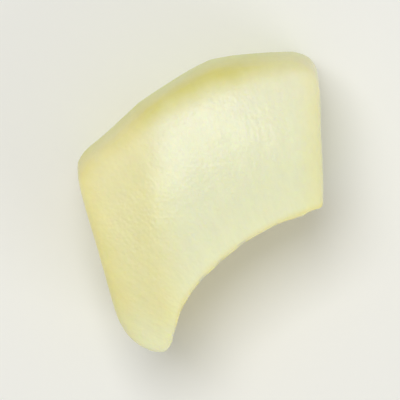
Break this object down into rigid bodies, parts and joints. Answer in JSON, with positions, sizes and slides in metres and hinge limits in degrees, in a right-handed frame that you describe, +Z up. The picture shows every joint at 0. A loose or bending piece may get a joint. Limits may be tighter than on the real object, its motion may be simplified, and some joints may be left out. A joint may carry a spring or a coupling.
{
  "type": "galia melon chunk",
  "caption": "Knife-cut chunk of peeled galia melon: bowed peeled side, hollow seed side, softly rounded top cut and blunt tip; lies on its flat base cut.",
  "frame": {"origin": "middle of the chunk's box, on the flat base cut that it rests on", "axes": "+Z up through the top cut; +Y along the chunk's longest side, away from the blunt tip; the bowed peeled side faces -X and +Y, the hollow seed side faces +X and -Y"},
  "size_m": [0.0324, 0.0398, 0.0206],
  "materials": {
    "melon_flesh": "moist, translucent, pale cream-green flesh with a soft sheen"
  },
  "bodies": {
    "root": {"melon_chunk": "melon_flesh"}
  },
  "joints": []
}
